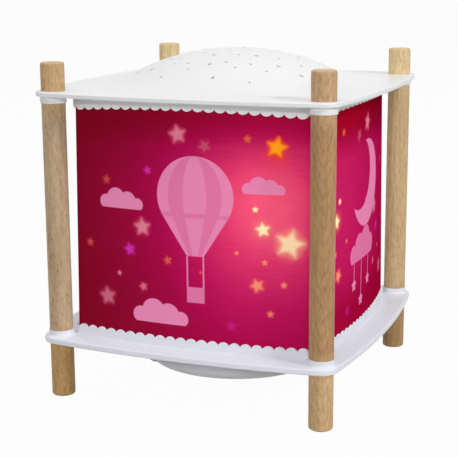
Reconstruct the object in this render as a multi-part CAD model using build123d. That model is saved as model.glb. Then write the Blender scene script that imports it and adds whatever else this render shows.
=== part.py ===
from build123d import *
import math
import os

# A square lantern night light, in millimetres, with +Z up and the origin on the floor under its middle.
# Four wooden posts carry a moulded base tray and a domed lid, and a printed screen stands between them.
# A lamp on a fixed mast shines through a star drum, which a small gear motor under the tray turns.

# Clearances
glue_gap = 0.05          # post in its collar
slip_gap = 0.2           # parts that drop into a seat
running_gap = 0.05       # turning parts, at the radius and at the thrust faces
moving_gap = 0.4         # parts that pass each other

# Posts
post_diameter = 13.0
post_spacing = 152.0
post_height = 186.5
post_round = 1.3

# Outline that the tray and the lid share
corner_margin = 2.8      # plate beyond the post at a corner
edge_bow = 5.2           # how far a long edge bows out past its corners
edge_round = 0.9

# Base tray
tray_underside = 31.5
tray_thickness = 3.5
tray_collar_rise = 3.4
tray_collar_wall = 0.5
tray_collar_blend = 1.2

# Lid
post_proud = 15.3        # post above the lid
lid_thickness = 2.6
lid_collar_drop = 3.8
lid_collar_wall = 0.6
dome_rise = 19.4
dome_margin = 2.5        # flat rim between the dome and the middle of a side
crown_share = 0.62       # share of the dome's run taken by its round crown
star_count = 68          # holes in the dome
star_field = 58.0        # radius that they are scattered over
star_stray = 3.5         # how far one strays from its even place
star_beat = 1.7          # sets which way each one strays
star_points = 5
star_tip = 2.1
small_star_tip = 1.4
large_star_step = 3      # every third star is a large one
star_waist = 0.45        # share of its tips that a star's waist has

# Screen and the scalloped walls that hold it
screen_setback = 7.4     # screen's face beside a corner, inside the line of the post axes
screen_corner = 5.0
screen_bow = 8.3
foot_flare = 1.5         # screen's foot outside its head, at each corner
foot_bow = 5.9
screen_wall = 0.5
fence_wall = 1.2
fence_rise = 3.6         # plain wall on the tray, up to the valleys
fence_drop = 6.0         # plain wall under the lid, down to the valleys, at the corners
fence_arch = 2.7         # how much less it drops in the middle of a side
scallop_count = 22       # along each side
scallop_depth = 2.1
lip_height = 2.5         # low wall inside the screen's foot and head

# Gears
drum_teeth = 64
pinion_teeth = 16
pressure_angle = math.radians(20)
addendum = 0.8           # in modules, a stub tooth
dedendum = 1.0
backlash = 0.16          # taken off each tooth at the pitch circle
gear_width = 5.5
pinion_end_gap = 0.5

# Lamp mast and bearing
journal_radius = 9.0
mast_flange_radius = 14.0
mast_flange = 2.0
mast_stem_radius = 6.0
mast_bore = 3.0
mast_head_radius = 14.0
mast_head = 3.0
lamp_level = 95.0        # seat of the lamp's board
washer_radius = 13.0
washer_thickness = 0.8
clip_radius = 12.0
clip_thickness = 0.9
clip_groove = 1.0        # depth of the groove in the journal
clip_mouth = 9.0
journal_end = 1.2        # journal left above the clip

# Lamp
led_board_radius = 12.0
board_thickness = 1.6
led_size = 3.4
led_height = 1.6
led_ring_radius = 7.5
led_count = 4            # round the one in the middle
diffuser_wall = 1.5
diffuser_skirt = 2.4     # overlap down the mast's head
diffuser_rise = 8.0      # straight wall above the seat, under the round top

# Star drum
drum_radius = 59.2       # outside of the film
film_thickness = 0.4
drum_headroom = 18.0     # between the drum's top ring and the lid
turntable_thickness = 2.0
turntable_window = 9.0
window_count = 6
rim_wall = 1.2
rim_height = 4.0
hub_wall = 3.0
hub_rise = 1.5
hub_step = 0.5           # hub below the teeth
top_ring_ledge = 2.6     # how far the top ring reaches in over the film's edge
top_ring_cap = 1.5

# Housing under the tray
housing_radius = 54.0
housing_wall = 2.0
housing_depth = 21.7
housing_round = 6.0
boss_radius = 3.5
boss_wall_gap = 1.5
boss_turn = 35.0         # degrees from +X to the first of the four screws
tray_boss_rise = 4.0
screw_seat = 3.5         # from the housing's underside up to the screw head's seat

# Screws
screw_radius = 1.25
screw_head_radius = 2.3
screw_head_height = 1.7
screw_recess = 0.7       # depth of the cross in the head
screw_cover = 0.5        # material left above a blind hole's end

# Gear motor
motor_radius = 15.0
motor_height = 14.0
motor_round = 1.5
motor_nose_radius = 4.0
motor_nose = 1.5
motor_ear_reach = 21.0
motor_ear_width = 6.0
motor_ear_thickness = 1.2
motor_terminal = (5.0, 6.0, 3.0)
motor_wall_gap = 5.0     # between the can and the housing's wall
shaft_radius = 1.5
shaft_in_motor = 12.0

# Control board, battery and sockets
board_motor_gap = 5.1
board_back = 20.0
board_front = -18.0
board_stand = 10.0       # board above the housing's floor
board_boss_radius = 2.3
board_boss_inset = 3.2
connector_size = (6.0, 5.0, 4.0)
chip_size = (8.0, 8.0, 1.2)
battery_boss_gap = 2.0   # between the battery and the screw boss in front of it
battery_thickness = 9.0
battery_wall_gap = 5.5
battery_pad_thickness = 1.0
battery_round = 2.0
lead_radius = 0.8
lead_bend = 3.0
lead_room = 4.5          # between board and battery
lead_clear = 1.0         # battery from the lamp lead's line
socket_size = (7.5, 8.9, 3.2)
socket_shell = 0.35
socket_tongue = 0.7
socket_overhang = 5.5
socket_across = 2.0      # the socket's middle along Y
socket_wall_gap = 1.0    # between the socket's mouth and the housing's wall
socket_mouth = (12.6, 7.0)
socket_mouth_round = 2.0

# Slide switch
switch_turn = -128.0     # degrees from +X
switch_body_size = (7.0, 14.0, 6.0)
switch_wall_gap = 1.5
switch_stand = 2.7       # body above the housing's floor
switch_travel = 2.0      # each way from the middle position
knob_stem = (4.0, 2.8)
knob_cap = (4.2, 10.0, 5.6)
knob_round = 1.2
knob_foot = 3.6          # stem inside the switch body
knob_ridges = 3
knob_ridge_width = 0.7
rib_wall = 1.2
rib_height = 6.0

# Values worked out from the sizes above
post_radius = post_diameter / 2
post_half = post_spacing / 2
post_places = {
    "front_left": (-post_half, -post_half),
    "front_right": (post_half, -post_half),
    "back_right": (post_half, post_half),
    "back_left": (-post_half, post_half),
}
plate_corner = post_radius + corner_margin
tray_top = tray_underside + tray_thickness
lid_top = post_height - post_proud
lid_underside = lid_top - lid_thickness
lid_middle = (lid_underside + lid_top) / 2
dome_run = post_half + edge_bow + plate_corner - dome_margin
screen_half = post_half - screen_setback
screen_centre = screen_half - screen_corner
head_line = (screen_centre, screen_bow)
foot_line = (screen_centre + foot_flare, foot_bow)
fence_inner = screen_corner + slip_gap
fence_outer = fence_inner + fence_wall
lip_outer = screen_corner - screen_wall - slip_gap
lip_inner = lip_outer - fence_wall
flange_top = tray_top + mast_flange
washer_top = flange_top + washer_thickness
hub_bottom = washer_top + running_gap
gear_bottom = hub_bottom + hub_step
disc_bottom = gear_bottom + gear_width
turntable_top = disc_bottom + turntable_thickness
hub_top = turntable_top + hub_rise
clip_bottom = hub_top + running_gap
clip_top = clip_bottom + clip_thickness
film_top = lid_underside - drum_headroom - top_ring_cap
rim_inner = drum_radius + slip_gap / 2
rim_outer = rim_inner + rim_wall
housing_bottom = tray_underside - housing_depth
housing_floor = housing_bottom + housing_wall
housing_inner = housing_radius - housing_wall
gear_centres = housing_inner - motor_radius - motor_wall_gap
gear_module = 2 * gear_centres / (drum_teeth + pinion_teeth)
boss_circle = housing_inner - boss_radius - boss_wall_gap
screw_hole = screw_radius + running_gap
screw_pass = screw_radius + slip_gap
board_bottom = housing_floor + board_stand
board_top = board_bottom + board_thickness
socket_corner = socket_across + socket_size[1] / 2
socket_front = socket_wall_gap - math.sqrt(housing_inner ** 2 - socket_corner ** 2)
board_left = socket_front + socket_overhang
board_right = -(motor_radius + board_motor_gap)
connector_level = board_top + connector_size[2] / 2
battery_back = -lead_clear
boss_setback = boss_circle * math.cos(math.radians(boss_turn))
battery_front = battery_boss_gap + boss_radius - boss_setback
battery_left = board_right + lead_room
battery_right = math.sqrt(housing_inner ** 2 - battery_front ** 2) - battery_wall_gap
battery_bottom = housing_floor + battery_pad_thickness
battery_top = battery_bottom + battery_thickness
switch_front = housing_inner - switch_wall_gap
switch_bottom = housing_floor + switch_stand
knob_level = switch_bottom + switch_body_size[2] / 2


def rod(radius, low, high, at=(0, 0)):
    """Upright cylinder between two heights."""
    low, high = sorted((low, high))
    upright = (Align.CENTER, Align.CENTER, Align.MIN)
    return Pos(at[0], at[1], low) * Cylinder(radius, high - low, align=upright)


def tube(outer, inner, low, high, at=(0, 0)):
    """Upright round tube between two heights."""
    return rod(outer, low, high, at) - rod(inner, low, high, at)


def slab(x, y, z):
    """Box between two values along each axis."""
    size = [span[1] - span[0] for span in (x, y, z)]
    return Pos(x[0], y[0], z[0]) * Box(*size, align=(Align.MIN,) * 3)


def about(middle, width):
    """Span of a width about a middle."""
    return (middle - width / 2, middle + width / 2)


def prism(outline, low, high):
    """Flat outline drawn up between two heights."""
    low, high = sorted((low, high))
    return extrude(Pos(0, 0, low) * outline, high - low, dir=(0, 0, 1))


def turned(*edges):
    """Solid of revolution about Z from a closed profile in the XZ plane."""
    return revolve(Face(Wire(edges)), Axis.Z)


def polar(radius, angle):
    return (radius * math.cos(angle), radius * math.sin(angle))


def ring_places(radius, count, first=0.0):
    """Points evenly spaced on a circle, the first at an angle in degrees."""
    return [polar(radius, math.radians(first + 360 / count * k)) for k in range(count)]


def bowed_square(corner_centre, corner_radius, bow):
    """Outline of a square whose sides bow outwards and run tangent into its round corners."""
    drop = (corner_centre ** 2 - bow ** 2) / (2 * bow)
    side_radius = drop + bow + corner_radius
    turn = math.atan2(corner_centre, drop)

    def on_side(angle):
        return (side_radius * math.sin(angle), drop - corner_centre - side_radius * math.cos(angle))

    def on_corner(angle):
        x, y = polar(corner_radius, angle)
        return (corner_centre + x, y - corner_centre)

    side = ThreePointArc(on_side(-turn), on_side(0), on_side(turn))
    corner = ThreePointArc(on_side(turn), on_corner(-math.pi / 4), on_corner(-turn))
    edges = [edge.rotate(Axis.Z, 90 * k) for k in range(4) for edge in (side, corner)]
    return Face(Wire(edges))


def screen_outline(line, corner_radius):
    """Outline of the screen's head or foot at a corner radius."""
    centre, bow = line
    return bowed_square(centre, corner_radius, bow)


def screen_band(line, inner, outer, low, high):
    """Wall that follows the screen's head or foot, between two corner radii."""
    return prism(screen_outline(line, outer), low, high) - prism(screen_outline(line, inner), low, high)


def scalloped_fence(line, root, valley, tip, arch=0.0):
    """Wall round the screen from its root to a free edge of round scallops, arched towards the root."""
    centre, bow = line
    span = centre + screen_corner / 2
    pitch = 2 * span / scallop_count
    rise = arch if root > valley else -arch

    def edge_level(along):
        return valley + rise * (1 - (along / span) ** 2)

    edges = []
    for k in range(scallop_count):
        start = -span + k * pitch
        middle = start + pitch / 2
        stop = start + pitch
        crest = edge_level(middle) + tip - valley
        arc = ThreePointArc((start, 0, edge_level(start)), (middle, 0, crest), (stop, 0, edge_level(stop)))
        edges.append(arc)
    reach = screen_corner + bow + 2 * fence_wall
    far = centre + reach
    outline = ((span, valley), (far, valley), (far, root), (-far, root), (-far, valley), (-span, valley))
    edges += Polyline(*[(along, 0, height) for along, height in outline]).edges()
    curtain = extrude(Pos(0, -centre, 0) * Face(Wire(edges)), reach, dir=(0, -1, 0))
    side = screen_band(line, fence_inner, fence_outer, root, tip) & curtain
    plain = screen_band(line, fence_inner, fence_outer, root, valley + rise)
    return plain + [side.rotate(Axis.Z, 90 * k) for k in range(4)]


def plate(low, high, low_round, high_round):
    """Plate of the lantern's outline with rounded edges."""
    body = prism(bowed_square(post_half, plate_corner, edge_bow), low, high)
    levels = body.edges().group_by(Axis.Z)
    lower, upper = levels[0], levels[-1]
    body = fillet(upper, high_round)
    lower = body.edges().group_by(Axis.Z)[0]
    return fillet(lower, low_round)


def screw(length, at, seat, upward=True):
    """Pan-head screw with a cross recess, whose head seats at a height and whose shank runs away from it."""
    head = rod(screw_head_radius, -screw_head_height, 0)
    head = fillet(head.edges().group_by(Axis.Z)[0], screw_head_height / 3)
    slot = (1.3 * screw_head_radius, screw_recess, 2 * screw_recess)
    cross = Pos(0, 0, -screw_head_height) * (Box(*slot) + Box(slot[1], slot[0], slot[2]))
    body = head + rod(screw_radius, 0, length) - cross
    if not upward:
        body = body.rotate(Axis.X, 180)
    return Pos(at[0], at[1], seat) * body


def gear_outline(teeth, turn):
    """Spur gear outline with involute flanks, one tooth centred at an angle."""
    pitch_radius = gear_module * teeth / 2
    base_radius = pitch_radius * math.cos(pressure_angle)
    tip_radius = pitch_radius + addendum * gear_module
    root_radius = pitch_radius - dedendum * gear_module
    half_tooth = math.pi / (2 * teeth) - backlash / 2 / pitch_radius
    start_radius = max(root_radius, base_radius)

    def involute(angle):
        return math.tan(angle) - angle

    def flank(radius):
        return half_tooth + involute(pressure_angle) - involute(math.acos(base_radius / radius))

    edges = []
    pitch_angle = 2 * math.pi / teeth
    radii = (start_radius, (start_radius + tip_radius) / 2, tip_radius)
    for k in range(teeth):
        middle = turn + k * pitch_angle
        rising = [polar(r, middle - flank(r)) for r in radii]
        falling = [polar(r, middle + flank(r)) for r in reversed(radii)]
        foot = polar(root_radius, middle - flank(start_radius))
        heel = polar(root_radius, middle + flank(start_radius))
        next_foot = polar(root_radius, middle + pitch_angle - flank(start_radius))
        if root_radius < start_radius:
            edges += [Line(foot, rising[0]), Line(falling[-1], heel)]
        edges.append(ThreePointArc(*rising))
        edges.append(ThreePointArc(rising[-1], polar(tip_radius, middle), falling[0]))
        edges.append(ThreePointArc(*falling))
        edges.append(ThreePointArc(heel, polar(root_radius, middle + pitch_angle / 2), next_foot))
    return Face(Wire(edges))


def lead(*points):
    """Round lead along straight runs joined by bends."""
    path = FilletPolyline(*points, radius=lead_bend)
    section = Plane(origin=path @ 0, z_dir=path % 0) * Circle(lead_radius)
    return sweep(section, path=path)


def dome_profile(level):
    """Crown arc and flank arc of the dome, from the axis out to where it is flat at a height."""
    sum_of_radii = (dome_run ** 2 + dome_rise ** 2) / (2 * dome_rise)
    crown = crown_share * sum_of_radii
    flank = sum_of_radii - crown
    lean = math.asin(dome_run / sum_of_radii)
    top = level + dome_rise

    def on_crown(angle):
        return (crown * math.sin(angle), 0, top - crown + crown * math.cos(angle))

    def on_flank(angle):
        return (dome_run - flank * math.sin(angle), 0, level + flank - flank * math.cos(angle))

    return (
        ThreePointArc(on_crown(0), on_crown(lean / 2), on_crown(lean)),
        ThreePointArc(on_crown(lean), on_flank(lean / 2), on_flank(0)),
    )


def post(at):
    body = rod(post_radius, 0, post_height, at)
    return fillet(body.edges().filter_by(GeomType.CIRCLE), post_round)


def collar(wall, foot, free_end, blend):
    """Round collar for a post, with a concave blend where it grows out of a plate."""
    radius = post_radius + wall
    sense = math.copysign(1, free_end - foot)
    skirt = radius + blend
    bend = (radius + blend * (1 - math.sqrt(0.5)), 0, foot + sense * blend * (1 - math.sqrt(0.5)))
    bore = post_radius / 2
    return turned(
        Line((bore, 0, foot), (skirt, 0, foot)),
        ThreePointArc((skirt, 0, foot), bend, (radius, 0, foot + sense * blend)),
        Line((radius, 0, foot + sense * blend), (radius, 0, free_end)),
        Line((radius, 0, free_end), (bore, 0, free_end)),
        Line((bore, 0, free_end), (bore, 0, foot)),
    )


def make_base_tray():
    tray = plate(tray_underside, tray_top, edge_round, edge_round)
    ring = collar(tray_collar_wall, tray_top, tray_top + tray_collar_rise, tray_collar_blend)
    tray += [Pos(*at) * ring for at in post_places.values()]
    tray += [rod(boss_radius, tray_top, tray_top + tray_boss_rise, at) for at in boss_places]
    valley = tray_top + fence_rise
    tray += scalloped_fence(foot_line, tray_top, valley, valley + scallop_depth)
    tray += screen_band(foot_line, lip_inner, lip_outer, tray_top, tray_top + lip_height)
    cuts = [rod(post_radius + glue_gap, 0, post_height, at) for at in post_places.values()]
    boss_end = tray_top + tray_boss_rise - screw_cover
    cuts += [rod(screw_hole, tray_underside, boss_end, at) for at in boss_places]
    cuts += [rod(screw_pass, tray_underside, tray_top, at) for at in mast_screw_places]
    cuts += [rod(screw_hole, tray_underside, tray_top - screw_cover, at) for at in motor_screw_places]
    cuts.append(rod(mast_bore, tray_underside, tray_top))
    cuts.append(rod(motor_nose_radius + slip_gap, tray_underside, tray_top, motor_place))
    return tray - cuts


def star_outline(at, tip, turn):
    """Outline of a small star about a point, one tip at an angle."""
    step = math.pi / star_points
    corners = []
    for k in range(2 * star_points):
        x, y = polar(star_waist * tip if k % 2 else tip, turn + k * step)
        corners.append((at[0] + x, at[1] + y))
    return Face(Wire(Polyline(*corners, close=True).edges()))


def scattered_stars():
    """Outlines of the stars over the dome, each a golden turn on from the last and a little astray."""
    golden_turn = math.pi * (3 - math.sqrt(5))
    stars = []
    for k in range(star_count):
        even = star_field * math.sqrt((k + 0.5) / star_count)
        stray = star_stray * math.sin(star_beat * k * k)
        tip = small_star_tip if k % large_star_step else star_tip
        stars.append(star_outline(polar(even + stray, k * golden_turn), tip, k))
    return stars


def make_lid():
    lid = plate(lid_underside, lid_top, edge_round / 2, edge_round)
    crown, flank = dome_profile(lid_top)
    inner_crown, inner_flank = dome_profile(lid_underside)
    shell = turned(
        crown,
        flank,
        Line(flank @ 1, inner_flank @ 1),
        inner_flank,
        inner_crown,
        Line(inner_crown @ 0, crown @ 0),
    )
    lid = lid - rod(dome_run, lid_underside, lid_top) + shell
    ring = collar(lid_collar_wall, lid_underside, lid_underside - lid_collar_drop, lid_collar_wall)
    lid += [Pos(*at) * ring for at in post_places.values()]
    valley = lid_underside - fence_drop
    lid += scalloped_fence(head_line, lid_middle, valley, valley - scallop_depth, fence_arch)
    lid += screen_band(head_line, lip_inner, lip_outer, lid_underside - lip_height, lid_middle)
    cuts = [rod(post_radius + glue_gap, 0, post_height, at) for at in post_places.values()]
    cuts += [prism(star, lid_underside, lid_top + dome_rise) for star in scattered_stars()]
    return lid - cuts


def screen_form(corner_radius):
    """Closed form between the screen's foot and its narrower head."""
    foot = Pos(0, 0, tray_top) * screen_outline(foot_line, corner_radius)
    head = Pos(0, 0, lid_underside - slip_gap) * screen_outline(head_line, corner_radius)
    return loft([foot, head], ruled=True)


def make_screen():
    return screen_form(screen_corner) - screen_form(screen_corner - screen_wall)


def make_mast():
    groove = journal_radius - clip_groove
    groove_top = clip_top + running_gap
    journal_top = groove_top + journal_end
    head_bottom = lamp_level - mast_head
    corners = (
        (mast_bore, tray_top),
        (mast_flange_radius, tray_top),
        (mast_flange_radius, flange_top),
        (journal_radius, flange_top),
        (journal_radius, clip_bottom),
        (groove, clip_bottom),
        (groove, groove_top),
        (journal_radius, groove_top),
        (journal_radius, journal_top),
        (mast_stem_radius, journal_top + journal_radius - mast_stem_radius),
        (mast_stem_radius, head_bottom - mast_head_radius + mast_stem_radius),
        (mast_head_radius, head_bottom),
        (mast_head_radius, lamp_level),
        (mast_bore, lamp_level),
    )
    mast = turned(*Polyline(*[(x, 0, z) for x, z in corners], close=True).edges())
    mast -= [rod(screw_hole, tray_top, flange_top - screw_cover, at) for at in mast_screw_places]
    return mast - [rod(screw_hole, head_bottom, lamp_level, at) for at in led_screw_places]


def make_retaining_clip():
    bore = journal_radius - clip_groove + running_gap
    ring = tube(clip_radius, bore, clip_bottom + running_gap / 2, clip_top)
    mouth = slab((0, 2 * clip_radius), about(0, clip_mouth), (clip_bottom, clip_top + clip_thickness))
    return ring - mouth


def make_leds():
    places = [(0, 0), *ring_places(led_ring_radius, led_count, 45)]
    bottom = lamp_level + board_thickness
    lens = led_size / 2 - slip_gap
    leds = []
    for x, y in places:
        base = slab(about(x, led_size), about(y, led_size), (bottom, bottom + led_height / 2))
        leds.append(base + rod(lens, bottom, bottom + led_height, (x, y)))
    return Compound(leds)


def make_diffuser():
    inner = mast_head_radius + slip_gap / 2
    outer = inner + diffuser_wall
    low = lamp_level - diffuser_skirt
    spring = lamp_level + diffuser_rise

    def half_circle(radius):
        middle = polar(radius, math.pi / 4)
        return ThreePointArc((radius, 0, spring), (middle[0], 0, spring + middle[1]), (0, 0, spring + radius))

    return turned(
        Line((inner, 0, low), (outer, 0, low)),
        Line((outer, 0, low), (outer, 0, spring)),
        half_circle(outer),
        Line((0, 0, spring + outer), (0, 0, spring + inner)),
        half_circle(inner),
        Line((inner, 0, spring), (inner, 0, low)),
    )


def make_turntable():
    hub = journal_radius + running_gap + hub_wall
    table = rod(hub, hub_bottom, hub_top)
    table += prism(gear_outline(drum_teeth, mesh_angle), gear_bottom, disc_bottom)
    table += rod(rim_outer, disc_bottom, turntable_top)
    table += tube(rim_outer, rim_inner, turntable_top, turntable_top + rim_height)
    gear_tip = gear_module * (drum_teeth / 2 + addendum)
    window_circle = (gear_tip + rim_inner) / 2
    cuts = [rod(journal_radius + running_gap, hub_bottom, hub_top)]
    for at in ring_places(window_circle, window_count):
        cuts.append(rod(turntable_window, disc_bottom, turntable_top, at))
    return table - cuts


def make_star_drum():
    return tube(drum_radius, drum_radius - film_thickness, turntable_top, film_top)


def make_drum_top_ring():
    skirt = tube(rim_outer, rim_inner, film_top - rim_height, film_top)
    return skirt + tube(rim_outer, rim_inner - top_ring_ledge, film_top, film_top + top_ring_cap)


def make_pinion():
    outline = gear_outline(pinion_teeth, mesh_angle + math.pi + math.pi / pinion_teeth)
    body = prism(outline, gear_bottom - pinion_end_gap, disc_bottom - pinion_end_gap)
    return Pos(*motor_place) * body - rod(shaft_radius, 0, post_height, motor_place)


def make_motor():
    x, y = motor_place
    bottom = tray_underside - motor_height
    can = rod(motor_radius, bottom, tray_underside, motor_place)
    can = fillet(can.edges().group_by(Axis.Z)[0], motor_round)
    can += rod(motor_nose_radius, tray_underside, tray_underside + motor_nose, motor_place)
    ear_level = (tray_underside - motor_ear_thickness, tray_underside)
    tongue = motor_ear_reach - motor_ear_width / 2
    can += slab(about(x, 2 * tongue), about(y, motor_ear_width), ear_level)
    can += [rod(motor_ear_width / 2, *ear_level, (x + side * tongue, y)) for side in (-1, 1)]
    length, width, height = motor_terminal
    terminal_x = (x - motor_radius - length / 2, x - motor_radius + length / 2)
    can += slab(terminal_x, about(motor_lead_y, width), about(connector_level, height))
    can -= [rod(screw_pass, *ear_level, at) for at in motor_screw_places]
    end = tray_underside - shaft_in_motor - slip_gap
    return can - rod(shaft_radius + running_gap, end, tray_top, motor_place)


def make_shaft():
    return rod(shaft_radius, tray_underside - shaft_in_motor, disc_bottom - pinion_end_gap, motor_place)


def switch_slab(x, y, z):
    """Box in the switch's own directions: outwards, along the slide, and up."""
    return Rot(0, 0, switch_turn) * slab(x, y, z)


def make_housing():
    low, high = housing_bottom, tray_underside
    flat = housing_radius - housing_round
    inner_round = housing_round - housing_wall
    lean = math.sqrt(0.5)

    def rim(radius):
        start = (flat, 0, low + housing_round - radius)
        middle = (flat + radius * lean, 0, low + housing_round - radius * lean)
        return ThreePointArc(start, middle, (flat + radius, 0, low + housing_round))

    cup = turned(
        Line((0, 0, low), (flat, 0, low)),
        rim(housing_round),
        Line((housing_radius, 0, low + housing_round), (housing_radius, 0, high)),
        Line((housing_radius, 0, high), (housing_inner, 0, high)),
        Line((housing_inner, 0, high), (housing_inner, 0, low + housing_round)),
        rim(inner_round),
        Line((flat, 0, housing_floor), (0, 0, housing_floor)),
        Line((0, 0, housing_floor), (0, 0, low)),
    )
    cup += [rod(boss_radius, housing_floor, high, at) for at in boss_places]
    cup += [rod(board_boss_radius, housing_floor, board_bottom, at) for at in board_screw_places]
    depth, width, _ = switch_body_size
    seat = (switch_front - depth, switch_front)
    cup += switch_slab(seat, about(0, width), (housing_floor, switch_bottom))
    for side in (-1, 1):
        rib = about(side * (width / 2 + slip_gap + rib_wall / 2), rib_wall)
        cup += switch_slab(seat, rib, (housing_floor, housing_floor + rib_height))
    battery_x, battery_y = (battery_left - slip_gap, battery_right + slip_gap), (battery_front, battery_back)
    stop = (housing_floor, housing_floor + rib_height)
    stop_width = (battery_back - battery_front) / 2
    for x in (battery_x[0] - rib_wall, battery_x[1]):
        cup += slab((x, x + rib_wall), about(sum(battery_y) / 2, stop_width), stop)
    cuts = [rod(screw_pass, low, high, at) for at in boss_places]
    cuts += [rod(screw_head_radius + slip_gap, low, low + screw_seat, at) for at in boss_places]
    cuts += [rod(screw_hole, housing_floor + screw_cover, board_bottom, at) for at in board_screw_places]
    slot = knob_stem[0] + 2 * switch_travel + 2 * moving_gap
    wall = (switch_front, housing_radius + housing_wall)
    cuts.append(switch_slab(wall, about(0, slot), about(knob_level, knob_stem[1] + 2 * moving_gap)))
    mouth = RectangleRounded(*socket_mouth, socket_mouth_round)
    mouth_plane = Plane((-housing_radius - housing_wall, socket_across, socket_level), (0, 1, 0), (1, 0, 0))
    cuts.append(extrude(mouth_plane * mouth, 3 * housing_wall))
    return cup - cuts


def make_battery():
    body = slab((battery_left, battery_right), (battery_front, battery_back), (battery_bottom, battery_top))
    return fillet(body.edges().filter_by(Axis.X), battery_round)


def make_battery_pad():
    inset = battery_round
    x = (battery_left + inset, battery_right - inset)
    return slab(x, (battery_front + inset, battery_back - inset), (housing_floor, battery_bottom))


def make_board():
    board = slab((board_left, board_right), (board_front, board_back), (board_bottom, board_top))
    return board - [rod(screw_pass, board_bottom, board_top, at) for at in board_screw_places]


def make_board_components():
    length, width, height = connector_size
    level = (board_top, board_top + height)
    edge = (board_right - length, board_right)
    pieces = [slab(edge, about(y, width), level) for y in (lamp_lead_y, battery_lead_y)]
    pieces.append(slab(about(motor_plug_x, width), (motor_plug_y - length, motor_plug_y), level))
    chip_x = (board_left + slip_gap, board_left + slip_gap + chip_size[0])
    screw_edge = board_screw_places[0][1] + screw_head_radius
    chip_y = (screw_edge + socket_across - socket_size[1] / 2) / 2
    chip_level = (board_top, board_top + chip_size[2])
    pieces.append(slab(chip_x, about(chip_y, chip_size[1]), chip_level))
    return Compound(pieces)


def make_socket():
    length, width, height = socket_size
    plane = Plane((socket_front, socket_across, socket_level), (0, 1, 0), (1, 0, 0))
    outside = RectangleRounded(width, height, height / 2 - socket_shell)
    inner_height = height - 2 * socket_shell
    inside = RectangleRounded(width - 2 * socket_shell, inner_height, inner_height / 2 - socket_shell)
    shell = extrude(plane * outside, length) - extrude(plane * inside, length - socket_shell)
    tongue = Rectangle(width - height, socket_tongue)
    return shell + extrude(plane * tongue, length)


def make_switch_body():
    depth, width, height = switch_body_size
    body = switch_slab((switch_front - depth, switch_front), about(0, width), about(knob_level, height))
    slot = knob_stem[0] + 2 * switch_travel + 2 * moving_gap
    foot = (switch_front - knob_foot - moving_gap, switch_front)
    return body - switch_slab(foot, about(0, slot), about(knob_level, knob_stem[1] + 2 * slip_gap))


def make_switch_knob():
    depth, width, height = knob_cap
    inner = housing_radius + moving_gap
    cap = slab((inner, inner + depth), about(0, width), about(knob_level, height))
    outer_edges = cap.faces().sort_by(Axis.X)[-1].edges() + cap.edges().filter_by(Axis.X)
    cap = fillet(outer_edges, knob_round)
    ridge_pitch = 2 * knob_ridge_width
    for k in range(knob_ridges):
        middle = (k - (knob_ridges - 1) / 2) * ridge_pitch
        groove = (inner + depth - knob_ridge_width, inner + 2 * depth)
        cap -= slab(groove, about(middle, knob_ridge_width), about(knob_level, 2 * height))
    reach = (switch_front - knob_foot, inner + depth / 2)
    stem = slab(reach, about(0, knob_stem[0]), about(knob_level, knob_stem[1]))
    return Rot(0, 0, switch_turn) * (cap + stem)


# Places that several pieces share
boss_places = ring_places(boss_circle, 4, boss_turn)
motor_place = (0, gear_centres)
mesh_angle = math.atan2(motor_place[1], motor_place[0])
motor_ear_hole = motor_ear_reach - motor_ear_width / 2
motor_screw_places = [(side * motor_ear_hole, gear_centres) for side in (-1, 1)]
mast_screw_circle = (journal_radius + washer_radius) / 2
mast_screw_places = ring_places(mast_screw_circle, 3, -90)
led_screw_places = ring_places(led_ring_radius + screw_head_radius / 2, 2)
board_screw_places = [
    (board_left + board_boss_inset, board_front + board_boss_inset),
    (board_right - board_boss_inset, board_back - board_boss_inset),
]
socket_level = board_top + socket_size[2] / 2
lamp_lead_y = 0.0
battery_lead_y = (battery_front + battery_back) / 2 + lead_room
motor_plug_y = board_back - board_thickness
motor_plug_x = board_right - board_boss_inset - screw_head_radius - slip_gap - connector_size[1] / 2
motor_lead_y = gear_centres
battery_lead_x = battery_left + lead_room

lamp_lead = lead(
    (board_right, lamp_lead_y, connector_level),
    (0, 0, connector_level),
    (0, 0, lamp_level),
)
motor_lead = lead(
    (-motor_radius - motor_terminal[0] / 2, motor_lead_y, connector_level),
    (motor_plug_x, motor_lead_y, connector_level),
    (motor_plug_x, motor_plug_y, connector_level),
)
battery_lead = lead(
    (board_right, battery_lead_y, connector_level),
    (battery_lead_x, battery_lead_y, connector_level),
    (battery_lead_x, battery_lead_y, battery_top),
)

housing_screw_length = tray_top + tray_boss_rise - 2 * screw_cover - housing_bottom - screw_seat
mast_screw_length = flange_top - 2 * screw_cover - tray_underside
motor_screw_length = tray_thickness - 2 * screw_cover + motor_ear_thickness
board_screw_length = board_stand - 2 * screw_cover - slip_gap + board_thickness
led_screw_length = mast_head + board_thickness

nodes = {f"post_{name}": post(at) for name, at in post_places.items()}
nodes["base_tray"] = make_base_tray()
nodes["lid"] = make_lid()
nodes["picture_screen"] = make_screen()
nodes["base_housing"] = make_housing()
nodes["housing_screws"] = Compound(
    [screw(housing_screw_length, at, housing_bottom + screw_seat) for at in boss_places]
)
nodes["gear_motor"] = make_motor()
nodes["motor_screws"] = Compound(
    [screw(motor_screw_length, at, tray_underside - motor_ear_thickness) for at in motor_screw_places]
)
nodes["motor_shaft"] = make_shaft()
nodes["drive_pinion"] = make_pinion()
nodes["battery_pad"] = make_battery_pad()
nodes["battery_pack"] = make_battery()
nodes["control_board"] = make_board()
nodes["board_components"] = make_board_components()
nodes["board_screws"] = Compound(
    [screw(board_screw_length, at, board_top, upward=False) for at in board_screw_places]
)
nodes["charging_socket"] = make_socket()
nodes["switch_body"] = make_switch_body()
nodes["switch_knob"] = make_switch_knob()
nodes["lamp_mast"] = make_mast()
nodes["mast_screws"] = Compound([screw(mast_screw_length, at, tray_underside) for at in mast_screw_places])
nodes["thrust_washer"] = tube(washer_radius, journal_radius + slip_gap, flange_top, washer_top)
nodes["retaining_clip"] = make_retaining_clip()
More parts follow.
